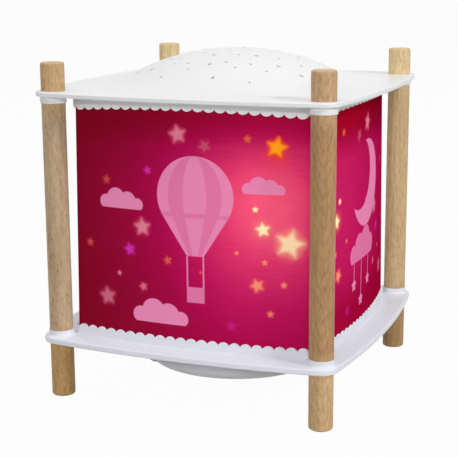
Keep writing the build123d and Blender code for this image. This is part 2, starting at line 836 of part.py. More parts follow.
nodes["led_board"] = rod(led_board_radius, lamp_level, lamp_level + board_thickness) - [
    rod(screw_pass, lamp_level, lamp_level + board_thickness, at) for at in led_screw_places
]
nodes["leds"] = make_leds()
nodes["led_screws"] = Compound(
    [screw(led_screw_length, at, lamp_level + board_thickness, upward=False) for at in led_screw_places]
)
nodes["lamp_diffuser"] = make_diffuser()
nodes["lamp_lead"] = lamp_lead
nodes["motor_lead"] = motor_lead
nodes["battery_lead"] = battery_lead
nodes["turntable"] = make_turntable()
nodes["star_drum"] = make_star_drum()
nodes["drum_top_ring"] = make_drum_top_ring()

os.makedirs("parts", exist_ok=True)
for name, shape in nodes.items():
    export_step(shape, f"parts/{name}.step")
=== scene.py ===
import math

import bmesh
import bpy
from mathutils import Matrix, Vector


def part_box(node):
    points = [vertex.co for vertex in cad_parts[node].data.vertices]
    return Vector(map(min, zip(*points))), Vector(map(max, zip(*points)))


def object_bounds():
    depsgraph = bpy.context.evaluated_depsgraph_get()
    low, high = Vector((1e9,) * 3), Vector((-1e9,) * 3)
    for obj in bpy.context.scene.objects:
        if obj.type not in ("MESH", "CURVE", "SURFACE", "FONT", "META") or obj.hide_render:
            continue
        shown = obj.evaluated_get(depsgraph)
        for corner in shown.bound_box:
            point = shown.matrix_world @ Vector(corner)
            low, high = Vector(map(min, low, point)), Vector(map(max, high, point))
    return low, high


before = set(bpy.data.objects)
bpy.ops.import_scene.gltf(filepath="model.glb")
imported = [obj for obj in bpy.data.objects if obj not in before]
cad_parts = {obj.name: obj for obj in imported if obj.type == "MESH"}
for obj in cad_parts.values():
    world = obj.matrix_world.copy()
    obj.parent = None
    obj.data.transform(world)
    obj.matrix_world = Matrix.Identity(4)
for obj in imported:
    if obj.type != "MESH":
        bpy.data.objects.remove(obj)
cad_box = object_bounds()

# Stage
# A square lantern night light stands on a pale studio floor, and the lens looks down on its front right post.
# A strip in front, a small lamp at the right and soft lamps overhead, at the left and behind light it.
view_azimuth = math.radians(21.72)
view_elevation = math.radians(12.45)
view_roll = math.radians(0.36)
eye = Vector((0.25673, -0.65717, 0.24084))
image_side = 458
focal_pixels = 1233.9

flat_back = math.cos(view_elevation)
back = Vector((
    math.sin(view_azimuth) * flat_back,
    -math.cos(view_azimuth) * flat_back,
    math.sin(view_elevation),
))
level_right = Vector((math.cos(view_azimuth), math.sin(view_azimuth), 0.0))
level_up = back.cross(level_right)
right = level_right * math.cos(view_roll) - level_up * math.sin(view_roll)
up = level_right * math.sin(view_roll) + level_up * math.cos(view_roll)

camera = bpy.data.objects.new("camera", bpy.data.cameras.new("camera"))
camera.data.lens = focal_pixels / image_side * camera.data.sensor_width
camera.matrix_world = Matrix.Translation(eye) @ Matrix((right, up, back)).transposed().to_4x4()
bpy.context.scene.collection.objects.link(camera)
bpy.context.scene.camera = camera
bpy.context.scene.view_settings.view_transform = "Standard"

lantern_middle = (cad_box[0] + cad_box[1]) / 2


def soft_lamp(name, place, width, height, watts):
    """A rectangular soft lamp aimed at the lantern's middle."""
    data = bpy.data.lights.new(name, "AREA")
    data.shape = "RECTANGLE"
    data.size = width
    data.size_y = height
    data.energy = watts
    lamp = bpy.data.objects.new(name, data)
    aim = lantern_middle - Vector(place)
    lamp.matrix_world = Matrix.Translation(place) @ aim.to_track_quat("-Z", "Y").to_matrix().to_4x4()
    bpy.context.scene.collection.objects.link(lamp)
    return lamp


soft_lamp("overhead_softbox", place=(0.05, -0.05, 1.3), width=1.8, height=0.5, watts=6.1)
soft_lamp("right_softbox", place=(1.3, -0.35, 0.95), width=0.25, height=0.25, watts=10.0)
soft_lamp("left_softbox", place=(-0.8, -0.2, 1.1), width=0.6, height=0.6, watts=3.0)
soft_lamp("front_strip", place=(0.4, -1.4, 0.57), width=0.9, height=0.12, watts=7.2)
back_softbox = soft_lamp("back_softbox", place=(-0.3, 1.3, 0.9), width=0.9, height=0.6, watts=1.6)
back_softbox.visible_glossy = False


def plug(tree, socket, value):
    """Sets a socket to a value, or links it to another socket."""
    if isinstance(value, bpy.types.NodeSocket):
        tree.links.new(value, socket)
    else:
        socket.default_value = value


def add_node(tree, kind, inputs=None, **settings):
    """A node with its settings, and its inputs set or linked by name or number."""
    made = tree.nodes.new(kind)
    for name, value in settings.items():
        setattr(made, name, value)
    for key, value in (inputs or {}).items():
        plug(tree, made.inputs[key], value)
    return made


def calc(tree, operation, *values):
    """The result of one sum on sockets or numbers."""
    made = add_node(tree, "ShaderNodeMath", operation=operation)
    for socket, value in zip(made.inputs, values):
        plug(tree, socket, value)
    return made.outputs[0]


def seen_by_lens(tree):
    """One where the lens, a reflection or glass sees the backdrop, and nought where it lights the object."""
    path = add_node(tree, "ShaderNodeLightPath")
    mirrored = calc(tree, "MAXIMUM", path.outputs["Is Glossy Ray"], path.outputs["Is Transmission Ray"])
    return calc(tree, "MAXIMUM", path.outputs["Is Camera Ray"], mirrored)


white = (1.0, 1.0, 1.0, 1.0)
sky_fill = (0.93, 0.95, 1.0, 1.0)
sky_level = 0.10

world = bpy.data.worlds.new("studio")
bpy.context.scene.world = world
world.use_nodes = True
tree = world.node_tree
tree.nodes.clear()
fill = add_node(tree, "ShaderNodeBackground", {"Color": sky_fill, "Strength": sky_level})
sweep = add_node(tree, "ShaderNodeBackground", {"Color": white, "Strength": 1.0})
sky = add_node(tree, "ShaderNodeMixShader", {0: seen_by_lens(tree), 1: fill.outputs[0], 2: sweep.outputs[0]})
add_node(tree, "ShaderNodeOutputWorld", {"Surface": sky.outputs[0]})

floor_reach = 20.0
floor_white = (0.62, 0.62, 0.62, 1.0)
floor_glare = 0.97

mesh = bpy.data.meshes.new("floor")
shape = bmesh.new()
bmesh.ops.create_grid(shape, x_segments=2, y_segments=2, size=floor_reach)
shape.to_mesh(mesh)
shape.free()
floor = bpy.data.objects.new("floor", mesh)
bpy.context.scene.collection.objects.link(floor)

paper = bpy.data.materials.new("floor_paper")
paper.use_nodes = True
tree = paper.node_tree
tree.nodes.clear()
matt = add_node(tree, "ShaderNodeBsdfDiffuse", {"Color": floor_white})
glare = add_node(tree, "ShaderNodeEmission", {"Color": white, "Strength": 1.0})
share = calc(tree, "MULTIPLY", seen_by_lens(tree), floor_glare)
surface = add_node(tree, "ShaderNodeMixShader", {0: share, 1: matt.outputs[0], 2: glare.outputs[0]})
add_node(tree, "ShaderNodeOutputMaterial", {"Surface": surface.outputs[0]})
mesh.materials.append(paper)

# Posts
# Four beech dowels run from the floor up through the tray and the lid. They are planed, sanded and oiled,
# with straight fibres, short dark ray flecks, and growth rings that show as arcs on the sawn ends.
# The dowels' head, middle and foot tones are partly painted light and shade: lighter at the head above the
# lid, darker in the lid's shade, and a tone of their own at the foot below the tray.
post_low, post_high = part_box("post_front_right")
post_half = (post_low.x + post_high.x) / 2
post_height = post_high.z
lid_level = 0.170
tray_level = 0.033
head_run = 0.020         # under the lid, where the head's tone comes in
foot_run_above = 0.012   # about the tray, where the foot's tone comes in
foot_run_below = 0.004
end_band = 0.0006

ring_wander = 1.5
ring_sharpness = 2.5
patch_share = 0.14
fibre_share = 0.42
end_share = 0.6
pore_depth = 0.00004
oiled_roughness = (0.50, 0.64)
oiled_gloss = 0.3


def paint(red, green, blue):
    """Linear colour from the 0 to 255 values that a screen shows."""
    linear = []
    for value in (red, green, blue):
        shown = value / 255
        linear.append(shown / 12.92 if shown <= 0.04045 else ((shown + 0.055) / 1.055) ** 2.4)
    return (*linear, 1.0)


def over(tree, share, below, above, blend="MIX"):
    """One colour laid over another by a share."""
    made = add_node(tree, "ShaderNodeMix", data_type="RGBA", blend_type=blend)
    plug(tree, made.inputs[0], share)
    plug(tree, made.inputs[6], below)
    plug(tree, made.inputs[7], above)
    return made.outputs[2]


def carried(tree, value, low, high, start=0.0, stop=1.0):
    """Value carried evenly from the span between start and stop to the span from low to high."""
    return add_node(tree, "ShaderNodeMapRange", {0: value, 1: start, 2: stop, 3: low, 4: high}).outputs[0]


def ramp(tree, value, low, high):
    """Value carried smoothly from a span to the span from nought to one, and held there."""
    span = {0: value, 1: low, 2: high}
    return add_node(tree, "ShaderNodeMapRange", span, interpolation_type="SMOOTHSTEP").outputs[0]


def sum_of_squares(tree, one, other):
    return calc(tree, "ADD", calc(tree, "MULTIPLY", one, one), calc(tree, "MULTIPLY", other, other))


def stretched_noise(tree, place, across, along, detail=3.0, roughness=0.55):
    """Noise at a place, so many times a metre across the fibres and along them."""
    scaled = add_node(tree, "ShaderNodeMapping", {"Vector": place, "Scale": (across, across, along)})
    made = add_node(
        tree,
        "ShaderNodeTexNoise",
        {"Vector": scaled.outputs[0], "Scale": 1.0, "Detail": detail, "Roughness": roughness},
    )
    return made.outputs["Fac"]


def new_material(name):
    """A material with its node tree and its shader."""
    made = bpy.data.materials.new(name)
    made.use_nodes = True
    return made, made.node_tree, made.node_tree.nodes["Principled BSDF"]


def new_group(name, inputs, outputs):
    """A shader node group with named sockets, and the nodes at its two ends."""
    made = bpy.data.node_groups.new(name, "ShaderNodeTree")
    kinds = {"Color": "NodeSocketColor", "Vector": "NodeSocketVector", "Float": "NodeSocketFloat"}
    for label, kind in inputs:
        made.interface.new_socket(label, in_out="INPUT", socket_type=kinds[kind])
    for label, kind in outputs:
        made.interface.new_socket(label, in_out="OUTPUT", socket_type=kinds[kind])
    return made, made.nodes.new("NodeGroupInput"), made.nodes.new("NodeGroupOutput")


def object_place(tree):
    return add_node(tree, "ShaderNodeTexCoord").outputs["Object"]


def raise_bumps(tree, shader, height, depth):
    """Fine relief of a depth in metres."""
    made = add_node(tree, "ShaderNodeBump", {"Strength": 1.0, "Distance": depth, "Height": height})
    tree.links.new(made.outputs[0], shader.inputs["Normal"])


def dress(material, *names):
    """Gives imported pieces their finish."""
    for name in names:
        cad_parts[name].material_slots[0].material = material


beech_grain, ends_in, ends_out = new_group(
    "beech_grain",
    [("Pith X", "Float"), ("Pith Y", "Float"), ("Lean", "Float"), ("Ring Width", "Float")],
    [("Ring", "Float"), ("Patch", "Float"), ("Fibre", "Float"), ("Fleck", "Float"), ("End", "Float")]
    + [("Head", "Float"), ("Foot", "Float")],
)
tree = beech_grain
place = object_place(tree)
x, y, z = add_node(tree, "ShaderNodeSeparateXYZ", {0: place}).outputs
across = calc(tree, "SUBTRACT", x, ends_in.outputs["Pith X"])
deep = calc(tree, "SUBTRACT", y, ends_in.outputs["Pith Y"])
from_pith = calc(tree, "SQRT", sum_of_squares(tree, across, deep))
leaning = calc(tree, "MULTIPLY", z, ends_in.outputs["Lean"])
even_turn = calc(tree, "DIVIDE", calc(tree, "ADD", from_pith, leaning), ends_in.outputs["Ring Width"])
wander = stretched_noise(tree, place, across=150.0, along=45.0, detail=4.0, roughness=0.65)
turn = calc(tree, "ADD", even_turn, calc(tree, "MULTIPLY", wander, ring_wander))
ring = calc(tree, "POWER", calc(tree, "PINGPONG", turn, 1.0), ring_sharpness)
patch = ramp(tree, stretched_noise(tree, place, across=110.0, along=18.0), 0.32, 0.68)
coarse_fibre = ramp(tree, stretched_noise(tree, place, across=560.0, along=60.0), 0.40, 0.62)
fine_noise = stretched_noise(tree, place, across=850.0, along=230.0, detail=2.0, roughness=0.7)
fine_fibre = ramp(tree, fine_noise, 0.42, 0.60)
fibre = calc(tree, "MULTIPLY", calc(tree, "ADD", coarse_fibre, fine_fibre), 0.5)
cluster = ramp(tree, stretched_noise(tree, place, across=210.0, along=60.0, detail=1.0), 0.50, 0.62)
dash = ramp(tree, stretched_noise(tree, place, across=1500.0, along=420.0, detail=1.0), 0.60, 0.68)
at_top = ramp(tree, z, post_height - end_band, post_height - end_band / 2)
at_bottom = ramp(tree, z, end_band, end_band / 2)
plug(tree, ends_out.inputs["Ring"], ring)
plug(tree, ends_out.inputs["Patch"], patch)
plug(tree, ends_out.inputs["Fibre"], fibre)
plug(tree, ends_out.inputs["Fleck"], calc(tree, "MULTIPLY", cluster, dash))
plug(tree, ends_out.inputs["End"], calc(tree, "MAXIMUM", at_top, at_bottom))
# Masks for the head above the lid and the foot below the tray, where the painted light and shade tones come
# in
plug(tree, ends_out.inputs["Head"], ramp(tree, z, lid_level - head_run, lid_level))
plug(tree, ends_out.inputs["Foot"], ramp(tree, z, tray_level + foot_run_above, tray_level - foot_run_below))

grain_shade = (0.46, 0.38, 0.29, 1.0)
fleck_brown = paint(118, 80, 48)
end_tan = paint(214, 188, 144)


def beech(name, tones, pith, lean, ring_width, ring_share, fleck_share):
    """One dowel's wood: its tones at head, middle and foot, which hold painted light and shade, and where its
    stick stood in the log.
    """
    made, tree, shader = new_material(name)
    log = {"Pith X": pith[0], "Pith Y": pith[1], "Lean": lean, "Ring Width": ring_width}
    grain = add_node(tree, "ShaderNodeGroup", log, node_tree=beech_grain).outputs
    head, middle, foot = tones
    # Painted light and shade: the head above the lid and the foot below the tray take tones of their own.
    colour = over(tree, grain["Head"], middle, head)
    colour = over(tree, grain["Foot"], colour, foot)
    for label, share in (("Patch", patch_share), ("Ring", ring_share), ("Fibre", fibre_share)):
        colour = over(tree, calc(tree, "MULTIPLY", grain[label], share), colour, grain_shade, "MULTIPLY")
    colour = over(tree, calc(tree, "MULTIPLY", grain["Fleck"], fleck_share), colour, fleck_brown)
    colour = over(tree, calc(tree, "MULTIPLY", grain["End"], end_share), colour, end_tan)
    tree.links.new(colour, shader.inputs["Base Color"])
    tree.links.new(carried(tree, grain["Fibre"], *oiled_roughness), shader.inputs["Roughness"])
    shader.inputs["Specular IOR Level"].default_value = oiled_gloss
    pores = calc(tree, "ADD", grain["Fibre"], grain["Fleck"])
    raise_bumps(tree, shader, calc(tree, "SUBTRACT", 1.0, pores), pore_depth)
    return made


# Each dowel: its sides, its tones at head, middle and foot with their painted light and shade,
# its pith from its axis, lean, ring width, ring share and fleck share
dowels = {
    "front_left": (
        (-1, -1),
        (paint(215, 180, 132), paint(206, 177, 143), paint(207, 165, 107)),
        (-0.0040, 0.0300), 0.03, 0.0012, 0.18, 0.75,
    ),
    "front_right": (
        (1, -1),
        (paint(217, 180, 139), paint(194, 152, 107), paint(228, 192, 142)),
        (-0.0037, 0.0093), 0.10, 0.0004, 0.28, 0.35,
    ),
    "back_right": (
        (1, 1),
        (paint(239, 213, 164), paint(223, 192, 144), paint(195, 158, 109)),
        (0.0340, 0.0100), 0.02, 0.0010, 0.16, 0.45,
    ),
    "back_left": (
        (-1, 1),
        (paint(239, 216, 165), paint(223, 195, 147), paint(209, 175, 125)),
        (0.0200, -0.0240), 0.05, 0.0012, 0.20, 0.50,
    ),
}
for corner, (sides, tones, off_axis, lean, ring_width, ring_share, fleck_share) in dowels.items():
    pith = [side * post_half + off for side, off in zip(sides, off_axis)]
    wood = beech("beech_" + corner, tones, pith, lean, ring_width, ring_share, fleck_share)
    dress(wood, "post_" + corner)

# Base tray
# One white injection moulding: a bowed square plate with flared collars for the posts and a scalloped wall
# that stands round the foot of the screen. Its skin is satin, with the faint pebble of a sparked mould.
cloud_scale = 22.0
pebble_sheen = 0.16


def even_noise(tree, place, scale, detail):
    """Noise at a place, so many times a metre all ways."""
    made = add_node(tree, "ShaderNodeTexNoise", {"Vector": place, "Scale": scale, "Detail": detail})
    return made.outputs["Fac"]


def off_mean(tree, noise, share):
    """How far a noise is from its mean, times a share."""
    return calc(tree, "MULTIPLY", calc(tree, "SUBTRACT", noise, 0.5), share)


def shaded(tree, colour, level):
    """Colour made lighter or darker by a level."""
    made = add_node(tree, "ShaderNodeVectorMath", {0: colour}, operation="SCALE")
    plug(tree, made.inputs["Scale"], level)
    return made.outputs[0]


moulded_skin, ends_in, ends_out = new_group(
    "moulded_skin",
    [("Color", "Color"), ("Roughness", "Float"), ("Cloud", "Float"), ("Pebble", "Float")],
    [("Color", "Color"), ("Roughness", "Float"), ("Height", "Float")],
)
tree = moulded_skin
place = object_place(tree)
pebble = even_noise(tree, place, ends_in.outputs["Pebble"], detail=2.0)
uneven = off_mean(tree, even_noise(tree, place, cloud_scale, detail=3.0), ends_in.outputs["Cloud"])
sheen = calc(tree, "ADD", ends_in.outputs["Roughness"], off_mean(tree, pebble, pebble_sheen))
toned = shaded(tree, ends_in.outputs["Color"], calc(tree, "ADD", 1.0, uneven))
plug(tree, ends_out.inputs["Color"], toned)
plug(tree, ends_out.inputs["Roughness"], calc(tree, "ADD", sheen, uneven))
plug(tree, ends_out.inputs["Height"], pebble)


def moulded(name, colour, roughness, cloud=0.03, pebble=1400.0, relief=0.000004):
    """A moulded plastic with an uneven tone and a faint pebble."""
    made, tree, shader = new_material(name)
    finish = {"Color": colour, "Roughness": roughness, "Cloud": cloud, "Pebble": pebble}
    skin = add_node(tree, "ShaderNodeGroup", finish, node_tree=moulded_skin)
    tree.links.new(skin.outputs["Color"], shader.inputs["Base Color"])
    tree.links.new(skin.outputs["Roughness"], shader.inputs["Roughness"])
    raise_bumps(tree, shader, skin.outputs["Height"], relief)
    return made


# The tray's faint blue tint is painted light: the cool cast that the tray shows in shade, not a tint of its
# plastic.
dress(moulded("tray_plastic", paint(237, 238, 246), roughness=0.38), "base_tray")

# Lamp mast and its bearing
# A turned nylon mast is screwed to the tray. The drum's hub runs on its journal over a thin washer, and a
# sprung steel clip in the journal's groove keeps the hub down.
nylon = moulded("natural_nylon", paint(226, 222, 208), roughness=0.42, cloud=0.06, pebble=900.0)
dress(nylon, "lamp_mast", "thrust_washer")

tarnish_scale = 160.0
tarnish_gain = 0.3
least_tone = 0.82
streak_sheen = 0.25
streak_relief = 0.00001

brushed_metal, ends_in, ends_out = new_group(
    "brushed_metal",
    [("Color", "Color"), ("Roughness", "Float"), ("Streaks", "Vector")],
    [("Color", "Color"), ("Roughness", "Float"), ("Height", "Float")],
)
tree = brushed_metal
place = object_place(tree)
drawn_out = {0: place, 1: ends_in.outputs["Streaks"]}
drawn = add_node(tree, "ShaderNodeVectorMath", drawn_out, operation="MULTIPLY").outputs[0]
streak = even_noise(tree, drawn, 1.0, detail=3.0)
tarnish = calc(tree, "MULTIPLY", even_noise(tree, place, tarnish_scale, detail=3.0), tarnish_gain)
toned = shaded(tree, ends_in.outputs["Color"], calc(tree, "ADD", least_tone, tarnish))
worn = calc(tree, "ADD", ends_in.outputs["Roughness"], off_mean(tree, streak, streak_sheen))
plug(tree, ends_out.inputs["Color"], toned)
plug(tree, ends_out.inputs["Roughness"], worn)
plug(tree, ends_out.inputs["Height"], streak)


def metal(name, colour, roughness, streaks):
    """A metal with fine drawn streaks and a little tarnish."""
    made, tree, shader = new_material(name)
    finish = {"Color": colour, "Roughness": roughness, "Streaks": streaks}
    coat = add_node(tree, "ShaderNodeGroup", finish, node_tree=brushed_metal)
    tree.links.new(coat.outputs["Color"], shader.inputs["Base Color"])
    tree.links.new(coat.outputs["Roughness"], shader.inputs["Roughness"])
    shader.inputs["Metallic"].default_value = 1.0
    raise_bumps(tree, shader, coat.outputs["Height"], streak_relief)
    return made


turned_streaks = (500.0, 500.0, 4000.0)
zinc_steel = metal("zinc_plated_steel", paint(196, 198, 202), 0.34, turned_streaks)
dress(zinc_steel, "mast_screws", "led_screws", "motor_screws", "board_screws", "housing_screws")
dress(zinc_steel, "retaining_clip")

# Gear motor
# A small geared motor in a drawn tin can hangs under the tray by two ears. Its steel shaft comes up through
# the tray and carries a nylon pinion, which meshes with the drum's gear.
drawn_streaks = (300.0, 300.0, 3000.0)
dress(metal("drawn_tin", paint(176, 174, 168), 0.3, drawn_streaks), "gear_motor")
dress(metal("ground_shaft", paint(204, 205, 208), 0.22, turned_streaks), "motor_shaft")
dress(nylon, "drive_pinion")

# Control board
# A small glass-fibre board stands on two bosses in the housing. It carries the black plugs for the leads, a
# chip, and the charging socket's folded metal shell.
board_green = paint(34, 92, 62)
board_trace = paint(52, 122, 84)
trace_pitch = 0.0021
trace_width = 0.06
trace_relief = 0.00003
brick_row = 0.25         # height of a row of the brick pattern at a scale of one
weave_scale = 2600.0
weave_share = 0.25
weave_sheen = (-0.2, 1.6)

circuit_board, tree, shader = new_material("circuit_board")
place = object_place(tree)
weave = even_noise(tree, place, weave_scale, detail=2.0)
tracks = add_node(
    tree,
    "ShaderNodeTexBrick",
    {
        "Vector": place,
        "Scale": brick_row / trace_pitch,
        "Mortar Size": trace_width,
        "Color1": board_green,
        "Color2": board_green,
        "Mortar": board_trace,
    },
)
woven = over(tree, calc(tree, "MULTIPLY", weave, weave_share), tracks.outputs["Color"], board_trace)
tree.links.new(woven, shader.inputs["Base Color"])
tree.links.new(ramp(tree, weave, *weave_sheen), shader.inputs["Roughness"])
raise_bumps(tree, shader, tracks.outputs["Fac"], trace_relief)
dress(circuit_board, "control_board", "led_board")

black_plastic = moulded("black_plastic", paint(32, 32, 35), roughness=0.44, cloud=0.2, pebble=1800.0)
dress(black_plastic, "board_components", "switch_body")
folded_streaks = (2500.0, 300.0, 300.0)
dress(metal("socket_shell", paint(188, 188, 190), 0.28, folded_streaks), "charging_socket")

# Battery and leads
# A flat lithium cell in a shrunk blue sleeve rests on a foam pad between two ribs. Three two-core leads in
# soft red vinyl run from the board to the battery, the motor and the lamp.
sleeve_blue = paint(58, 92, 150)
sleeve = moulded("shrink_sleeve", sleeve_blue, roughness=0.34, cloud=0.16, pebble=420.0, relief=0.00003)
dress(sleeve, "battery_pack")

foam_light = paint(96, 96, 98)
foam_dark = paint(60, 60, 62)
foam_cells = 1500.0
foam_depth = 0.0002
foam_sheen = (-3.0, 0.6)

foam, tree, shader = new_material("grey_foam")
cells = add_node(tree, "ShaderNodeTexVoronoi", {"Vector": object_place(tree), "Scale": foam_cells})
from_cell = cells.outputs["Distance"]
tree.links.new(over(tree, from_cell, foam_light, foam_dark), shader.inputs["Base Color"])
tree.links.new(ramp(tree, from_cell, *foam_sheen), shader.inputs["Roughness"])
raise_bumps(tree, shader, from_cell, foam_depth)
dress(foam, "battery_pad")

vinyl = moulded("red_vinyl", paint(168, 40, 38), roughness=0.4, cloud=0.14, pebble=700.0)
dress(vinyl, "battery_lead", "motor_lead", "lamp_lead")

# Housing and switch
# A round grey-white cup closes the works under the tray, held by four long screws from below. A slide
# switch stands behind its wall, and the ribbed knob sticks out through a slot.
dress(moulded("housing_plastic", paint(232, 232, 236), roughness=0.36), "base_housing", "switch_knob")

# Lamp
# Five white chips with yellow phosphor are soldered on a round board, which is screwed to the mast's head.
# They light a blown opal cap that is pushed down over the head.
opal_haze = 300.0
opal_sheen = (-0.6, 1.4)
opal_glow = 0.6
phosphor_grain = 1200.0
phosphor_sheen = (-1.0, 2.0)
phosphor_glow = 0.8


def glowing(name, scale, detail, tones, sheen, strength):
    """A clouded finish between two tones that glows a little."""
    made, tree, shader = new_material(name)
    haze = even_noise(tree, object_place(tree), scale, detail)
    glow = over(tree, haze, *tones)
    tree.links.new(glow, shader.inputs["Base Color"])
    tree.links.new(glow, shader.inputs["Emission Color"])
    tree.links.new(ramp(tree, haze, *sheen), shader.inputs["Roughness"])
    shader.inputs["Emission Strength"].default_value = strength
    return made


opal_tones = (paint(255, 236, 200), paint(255, 246, 224))
phosphor_tones = (paint(246, 214, 92), paint(250, 230, 140))
dress(glowing("opal_plastic", opal_haze, 3.0, opal_tones, opal_sheen, opal_glow), "lamp_diffuser")
dress(glowing("led_lens", phosphor_grain, 2.0, phosphor_tones, phosphor_sheen, phosphor_glow), "leds")

# Star drum
# A clear film rolled into a tube and printed with coloured stars stands in the rim of a geared nylon
# turntable, under a nylon ring. As it turns, the stars wander over the screen.
dress(nylon, "turntable", "drum_top_ring")

star_tips = 5
star_waist = 0.57        # share of its tips that a star's waist has
outer_blur = 1.1         # of a star's blur, outside its edge
inner_blur = -0.7
tip_fade = (1.06, 0.82)  # of its reach, where a tip is blunted
core_fade = (0.1, -0.6)  # of its edge's distance, where the core begins and is full

half_step = math.pi / star_tips
edge_lean = math.atan2(1.0 - star_waist * math.cos(half_step), star_waist * math.sin(half_step))
edge_distance = math.cos(edge_lean)

soft_star, ends_in, ends_out = new_group(
    "soft_star",
    [("Across", "Float"), ("Up", "Float"), ("Middle Across", "Float"), ("Middle Up", "Float")]
    + [("Reach", "Float"), ("Turn", "Float"), ("Blur", "Float")],
    [("Mask", "Float"), ("Core", "Float")],
)
tree = soft_star
across = calc(tree, "SUBTRACT", ends_in.outputs["Across"], ends_in.outputs["Middle Across"])
rise = calc(tree, "SUBTRACT", ends_in.outputs["Up"], ends_in.outputs["Middle Up"])
reach = calc(tree, "SQRT", sum_of_squares(tree, across, rise))
angle = calc(tree, "ADD", calc(tree, "ARCTAN2", across, rise), ends_in.outputs["Turn"])
folded = calc(tree, "PINGPONG", angle, half_step)
facing = calc(tree, "COSINE", calc(tree, "SUBTRACT", folded, edge_lean))
towards_edge = calc(tree, "DIVIDE", calc(tree, "MULTIPLY", reach, facing), ends_in.outputs["Reach"])
beyond = calc(tree, "SUBTRACT", towards_edge, edge_distance)
outer_edge = calc(tree, "MULTIPLY", ends_in.outputs["Blur"], outer_blur)
inner_edge = calc(tree, "MULTIPLY", ends_in.outputs["Blur"], inner_blur)
filled = ramp(tree, beyond, outer_edge, inner_edge)
blunted = ramp(tree, calc(tree, "DIVIDE", reach, ends_in.outputs["Reach"]), *tip_fade)
core = ramp(tree, beyond, core_fade[0] * edge_distance, core_fade[1] * edge_distance)
plug(tree, ends_out.inputs["Mask"], calc(tree, "MULTIPLY", filled, blunted))
plug(tree, ends_out.inputs["Core"], core)


def star(tree, across, rise, middle, reach, turn, blur):
    """Masks of one five-pointed star and of its core."""
    made = add_node(tree, "ShaderNodeGroup", node_tree=soft_star)
    for socket, value in zip(made.inputs, (across, rise, *middle, reach, turn, blur)):
        plug(tree, socket, value)
    return made.outputs["Mask"], made.outputs["Core"]


drum_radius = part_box("star_drum")[1].x
star_cell = 0.0155
cell_shift = (0.38, 0.62)
cell_reach = (0.12, 0.36)
print_blur = 0.03
film_plum = paint(120, 20, 60)
star_orange = paint(250, 150, 40)
star_butter = paint(250, 226, 140)
star_magenta = paint(206, 60, 150)
butter_from = (0.30, 0.36)   # of the draw of inks
magenta_from = (0.63, 0.69)
film_sheen = (-1.0, 3.0)

film, tree, shader = new_material("star_film")
x, y, z = add_node(tree, "ShaderNodeSeparateXYZ", {0: object_place(tree)}).outputs
round_drum = calc(tree, "MULTIPLY", calc(tree, "ARCTAN2", y, x), drum_radius / star_cell)
up_drum = calc(tree, "DIVIDE", z, star_cell)
column = calc(tree, "FLOOR", round_drum)
row = calc(tree, "FLOOR", up_drum)
cell = add_node(tree, "ShaderNodeCombineXYZ", {0: column, 1: row})
draw = add_node(tree, "ShaderNodeTexWhiteNoise", {"Vector": cell.outputs[0]}, noise_dimensions="2D")
shift_across, shift_up, hue = add_node(tree, "ShaderNodeSeparateColor", {0: draw.outputs["Color"]}).outputs
printed = star(
    tree,
    calc(tree, "SUBTRACT", round_drum, column),
    calc(tree, "SUBTRACT", up_drum, row),
    (carried(tree, shift_across, *cell_shift), carried(tree, shift_up, *cell_shift)),
    carried(tree, draw.outputs["Value"], *cell_reach),
    calc(tree, "MULTIPLY", shift_up, math.tau),
    print_blur,
)[0]
star_ink = over(tree, ramp(tree, hue, *butter_from), star_orange, star_butter)
star_ink = over(tree, ramp(tree, hue, *magenta_from), star_ink, star_magenta)
tree.links.new(over(tree, printed, film_plum, star_ink), shader.inputs["Base Color"])
tree.links.new(ramp(tree, hue, *film_sheen), shader.inputs["Roughness"])
dress(film, "star_drum")

# Picture screen
# A translucent printed film is rolled into a rounded square tube and dropped between the two scalloped walls.
# The lamp behind it is painted in: a painted glow in the pink ink, brightest towards one corner, and painted
# soft coloured stars that it throws on the film.
glow_across = 0.045
glow_level = 0.116
glow_below = 0.8         # how much more slowly the glow falls below its middle
glow_spread = 0.040
side_glow_spread = 0.110
side_glow = 0.5
glow_stops = (
    (0.10, (0.200, 0.0030, 0.016, 1.0)),
    (0.30, (0.360, 0.0036, 0.059, 1.0)),
    (0.45, (0.470, 0.0080, 0.092, 1.0)),
    (0.72, (0.680, 0.0330, 0.134, 1.0)),
    (1.00, (0.900, 0.0930, 0.190, 1.0)),
)

screen_film, tree, shader = new_material("screen_film")
x, y, z = add_node(tree, "ShaderNodeSeparateXYZ", {0: object_place(tree)}).outputs
on_side = calc(tree, "GREATER_THAN", calc(tree, "ABSOLUTE", x), calc(tree, "ABSOLUTE", y))


def by_face(on_front, on_side_face):
    """Value that differs between the front and back faces and the two side faces."""
    return add_node(tree, "ShaderNodeMix", {0: on_side, 2: on_front, 3: on_side_face}).outputs[0]


front_across = calc(tree, "MULTIPLY", calc(tree, "SIGN", y), x)
side_across = calc(tree, "MULTIPLY", calc(tree, "SIGN", x), y)
across = calc(tree, "MULTIPLY", by_face(front_across, side_across), -1.0)
off_across = calc(tree, "SUBTRACT", across, glow_across)
above_glow = calc(tree, "SUBTRACT", z, glow_level)
off_up = calc(tree, "MAXIMUM", above_glow, calc(tree, "MULTIPLY", above_glow, -glow_below))
off_square = sum_of_squares(tree, off_across, off_up)
spread = by_face(glow_spread ** 2, side_glow_spread ** 2)
fall = calc(tree, "ADD", 1.0, calc(tree, "DIVIDE", off_square, spread))

# Painted shade: the lid shades the film's head, which is made a darker red there, darkest towards the far
# end; on the sides the film is also made a darker red towards the foot
lid_shade_from = by_face(0.1442, 0.1360)
lid_shade_to = by_face(0.1620, 0.1660)
least_light = 0.5
head_shade_red = paint(150, 3, 10)
far_head_shade_red = paint(103, 0, 10)
foot_red = paint(140, 0, 34)
far_run = (0.05, -0.06)
head_shade_run = (0.132, 0.158)
foot_red_run = (0.078, 0.046)
head_shade_share = by_face(0.22, 0.75)
foot_share = by_face(0.0, 0.68)

